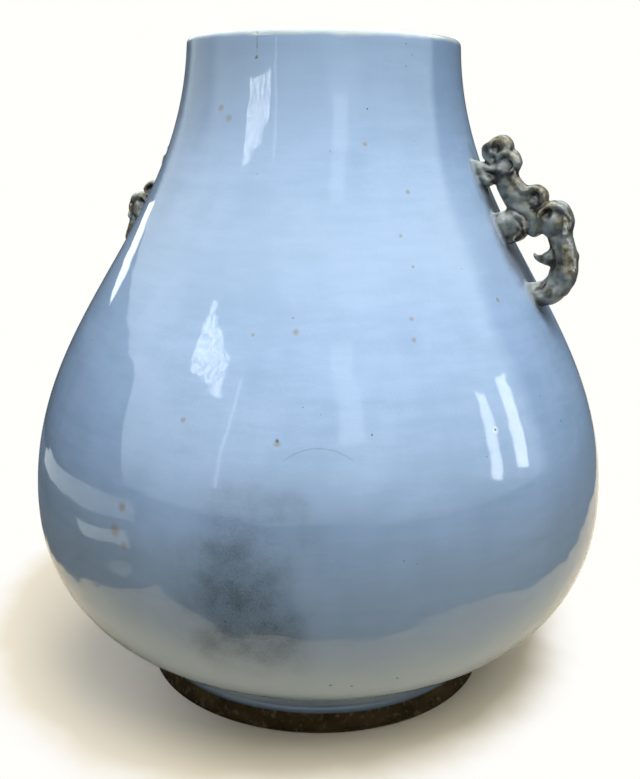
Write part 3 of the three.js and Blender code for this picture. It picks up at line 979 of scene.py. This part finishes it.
# Cards and panes near the vase, seen in its gloss: degrees right of the camera,
# distance from the vase's axis, corners across and up in metres, brightness
CARDS = (
    ("dark_card", -110, 0.45, ((-0.42, 0.06), (0.437, 0.142), (0.29, 0.4), (-0.42, 0.395)), 0.06),
    ("pale_rail", -100, 0.44, ((-0.13, 0.072), (0.38, 0.09), (0.36, 0.142), (-0.13, 0.105)), 1.1),
    ("pale_box", -100, 0.44, ((0.148, 0.021), (0.352, 0.005), (0.331, 0.056), (0.11, 0.046)), 1.6),
    ("far_left_pane", -110, 0.445, ((-0.225, 0.37), (-0.02, 0.333), (-0.04, 0.378), (-0.14, 0.402)), 4.5),
    ("speckled_pane", -57, 0.7, ((0, 0.605), (0.216, 0.605), (0.19, 0.74), (-0.035, 0.8)), 11),
    ("tall_window", 80, 0.65, ((-0.236, 0.232), (-0.181, 0.224), (-0.128, 0.477), (-0.181, 0.5)), 9),
    ("tall_window_beside", 80, 0.65,
     ((-0.104, 0.223), (-0.037, 0.213), (0.016, 0.451), (-0.043, 0.473)), 9),
)

# Lamps: place in the camera's frame in metres, size, power and colour
LAMPS = (
    ("ceiling_panel", (0, 0, 2.2), 1.4, 12, (0.94, 0.98, 1)),
    ("front_panel", (0, -0.9, 2), 1.2, 21, (0.98, 0.99, 1)),
    ("right_softbox", (0.62, -0.9, 1.9), 1.2, 18.5, (0.98, 0.99, 1)),
    ("back_panel", (-0.15, 0.8, 2), 1.2, 11, (1, 0.99, 0.97)),
)
LAMP_AIM = Vector((0.0, 0.0, 0.15))

# The cream sheet under the vase, in the camera's frame: its left, front and right edges,
# its slanting right edge, and how round its corner is
SHEET_LEFT = -0.288
SHEET_FRONT = -0.255
SHEET_RIGHT = 0.46
SHEET_SLANT = (0.9, 0.44, 0.335)
SHEET_CORNER = 0.08

# Paper beyond the sheet, and the oval where the floor starts to fade to the camera
PAPER_PLACE = (-0.385, -0.195, 0.0)
PAPER_HALVES = (0.035, 0.045)
FADE_CENTRE = (-0.03, 0.074, 0.0)
FADE_STRETCH = (1.105, 0.948, 1.0)
BACKDROP = (1.0, 0.995, 0.965, 1.0)
FLOOR_REACH = 8.0


def in_stage(place):
    """A place or direction turned so that the camera stands on its -Y side."""
    inputs = {"Vector": place, "Angle": -CAMERA_AZIMUTH}
    return place.node("ShaderNodeVectorRotate", inputs, rotation_type="Z_AXIS")


def room_glow(tree):
    """Brightness of the room in each direction, as the glaze mirrors it."""
    x, y, z = in_stage(Field(add(tree, "ShaderNodeTexCoord").outputs["Generated"])).parts()
    azimuth = x.math("ARCTAN2", y * -1.0) * math.degrees(1.0)
    elevation = z.math("ARCSINE") * math.degrees(1.0)
    glow = elevation.step(-14.0, 20.0) * CEILING_GLOW

    def patch(name, right, high, half_width, half_height, soft):
        mask = abs(azimuth - right).step(half_width + soft, half_width - soft)
        mask = mask * abs(elevation - high).step(half_height + soft, half_height - soft)
        mask.socket.node.label = name
        return mask

    for *place, depth in DARK_PATCHES:
        glow = glow * (1.0 - patch(*place) * depth)
    for *place, brightness in BRIGHT_PATCHES:
        glow = glow + patch(*place) * brightness
    return glow


def pale_room():
    """World: near white to the camera, plain soft light on the vase, a room in its gloss."""
    world = bpy.data.worlds.new("pale_room")
    world.use_nodes = True
    tree = world.node_tree
    light = tree.nodes["Background"]
    light.inputs["Color"].default_value = (1.0, 0.93, 0.78, 1.0)
    light.inputs["Strength"].default_value = SOFT_LIGHT
    whole = Field(light.outputs[0])
    mirrored = whole.node("ShaderNodeBackground", ((0.84, 0.95, 1.0, 1.0), room_glow(tree)))
    seen = whole.node("ShaderNodeBackground", (BACKDROP, 1.0))
    path = add(tree, "ShaderNodeLightPath").outputs
    whole = whole.node("ShaderNodeMixShader", (path["Is Glossy Ray"], whole, mirrored))
    whole = whole.node("ShaderNodeMixShader", (path["Is Camera Ray"], whole, seen))
    whole.into(tree.nodes["World Output"], "Surface")
    return world


def card_finish(name, brightness):
    """Glow of a card or pane; one is broken into specks like light through rough glass."""
    material, _, place = new_material(name)
    if name == "speckled_pane":
        brightness = (place.noise(110.0).step(0.42, 0.6) + 0.25) * brightness
    glow = place.node("ShaderNodeEmission", ((0.88, 0.96, 1.0, 1.0), brightness))
    glow.into(material.node_tree.nodes["Material Output"], "Surface")
    return material


def flat_object(name, corners, material):
    """A flat sheet of four corners, set on the stage."""
    mesh = bpy.data.meshes.new(name)
    mesh.from_pydata(corners, [], [(0, 1, 2, 3)])
    mesh.materials.append(material)
    made = linked(name, mesh)
    return made


def card(name, degrees, away, corners, brightness):
    """A flat card or pane beside the vase, in its gloss; the dark card also keeps soft light off."""
    angle = CAMERA_AZIMUTH + math.radians(degrees)
    outward = Vector((math.sin(angle), -math.cos(angle), 0.0))
    across = Vector((math.cos(angle), math.sin(angle), 0.0))
    points = [outward * away + across * along + Vector((0.0, 0.0, up)) for along, up in corners]
    made = flat_object(name, points, card_finish(name, brightness))
    made.visible_camera = False
    made.visible_diffuse = name == "dark_card"
    made.visible_shadow = False


def pale_floor():
    """Floor: a cream sheet, dark beyond its edge for light and gloss, white further out to the camera,
    with painted light that lightens its cast shadow.
    """
    material, shader, place = new_material("pale_floor")
    turned = in_stage(place)
    x, y, _ = turned.parts()
    to_camera = place.node("ShaderNodeLightPath", (), "Is Camera Ray")
    wander = (place.noise(15.0, 6.0) - 0.5) * 0.11

    right = (x * SHEET_SLANT[0] - y * SHEET_SLANT[1] - SHEET_SLANT[2]).most(x - SHEET_RIGHT)
    edge = (SHEET_LEFT - x).most(SHEET_FRONT - y).math("SMOOTH_MAX", right, SHEET_CORNER)
    beyond = (edge + wander).step(-0.004, 0.006)
    cream = place.noise(5.0, 4.0).between((0.82, 0.71, 0.52), (0.86, 0.75, 0.56))
    dark = place.away(ORIGIN).step(0.4, 1.2).between((0.1, 0.12, 0.15), (0.05, 0.06, 0.07))
    reach = turned.away(PAPER_PLACE, (1.0 / PAPER_HALVES[0], 1.0 / PAPER_HALVES[1], 1.0))
    paper = (reach + wander * 8.0).step(1.1, 0.95)
    dark = dark.tinted(paper * 0.8, (0.6, 0.66, 0.66))
    cream.tinted(beyond * (1.0 - to_camera), dark).into(shader, "Base Color")
    shader.inputs["Roughness"].default_value = 0.75
    shader.inputs["Specular IOR Level"].default_value = 0.2

    # To the camera the floor turns white beyond an oval, ending its cast shadow there, and a share of
    # white that grows to the left lightens the cast shadow near the vase: painted light
    away = turned.away(FADE_CENTRE, FADE_STRETCH) + wander * 0.3
    painted_shadow_lift = x.step(-0.028, -0.148) * 0.22 + 0.05
    fade = away.step(0.208, 0.262).most(painted_shadow_lift) * to_camera
    white = place.node("ShaderNodeEmission", (BACKDROP, 1.0))
    whole = place.node("ShaderNodeMixShader", (fade, shader.outputs[0], white))
    whole.into(material.node_tree.nodes["Material Output"], "Surface")
    return material


class VASE_OT_stage(bpy.types.Operator):
    """Set the floor, the lamps and the camera of the photograph."""

    bl_idname = "vase.stage"
    bl_label = "Set stage"

    def execute(self, context):
        scene = context.scene
        sides = ((-1, -1), (1, -1), (1, 1), (-1, 1))
        corners = [(x * FLOOR_REACH, y * FLOOR_REACH, 0.0) for x, y in sides]
        flat_object("studio_floor", corners, pale_floor())
        scene.world = pale_room()
        for details in CARDS:
            card(*details)

        facing = Matrix.Rotation(CAMERA_AZIMUTH, 4, "Z")
        for name, place, size, power, colour in LAMPS:
            data = bpy.data.lights.new(name, "AREA")
            data.size = size
            data.energy = power
            data.color = colour
            lamp = linked(name, data)
            lamp.location = facing @ Vector(place)
            lamp.rotation_euler = (LAMP_AIM - lamp.location).to_track_quat("-Z", "Y").to_euler()
            lamp.visible_glossy = False
            lamp.visible_camera = False

        data = bpy.data.cameras.new("photo_camera")
        data.sensor_width = 36.0
        data.lens = FOCAL_PIXELS / FRAME_HEIGHT * data.sensor_width
        data.shift_x = SHIFT_PIXELS / FRAME_HEIGHT
        camera = linked("photo_camera", data)
        place = facing @ Matrix.Translation((0.0, -CAMERA_DISTANCE, CAMERA_HEIGHT))
        tilt = Matrix.Rotation(math.pi / 2.0 - CAMERA_PITCH, 4, "X")
        camera.matrix_world = place @ tilt @ Matrix.Rotation(CAMERA_ROLL, 4, "Z")
        scene.camera = camera
        scene.view_settings.view_transform = "Standard"
        return {"FINISHED"}


class VASE_PT_panel(bpy.types.Panel):
    """Buttons of the vase in the sidebar."""

    bl_label = "Zun vase"
    bl_idname = "VASE_PT_panel"
    bl_space_type = "VIEW_3D"
    bl_region_type = "UI"
    bl_category = "Zun vase"

    def draw(self, context):
        settings = context.scene.vase_settings
        for name in ("gloss", "pale_glaze", "deep_glaze", "turns", "handle_cell"):
            self.layout.prop(settings, name)
        for name in ("vase.body", "vase.foot", "vase.handles", "vase.stage"):
            self.layout.operator(name)


CLASSES = (VASE_PG_settings, VASE_OT_body, VASE_OT_foot, VASE_OT_handles, VASE_OT_stage, VASE_PT_panel)


def register():
    for cls in CLASSES:
        bpy.utils.register_class(cls)
    bpy.types.Scene.vase_settings = bpy.props.PointerProperty(type=VASE_PG_settings)


def unregister():
    del bpy.types.Scene.vase_settings
    for cls in reversed(CLASSES):
        bpy.utils.unregister_class(cls)


def main():
    """Build the vase and its stage."""
    register()
    bpy.ops.vase.body()
    bpy.ops.vase.foot()
    bpy.ops.vase.handles()
    bpy.ops.vase.stage()


if __name__ == "__main__":
    main()
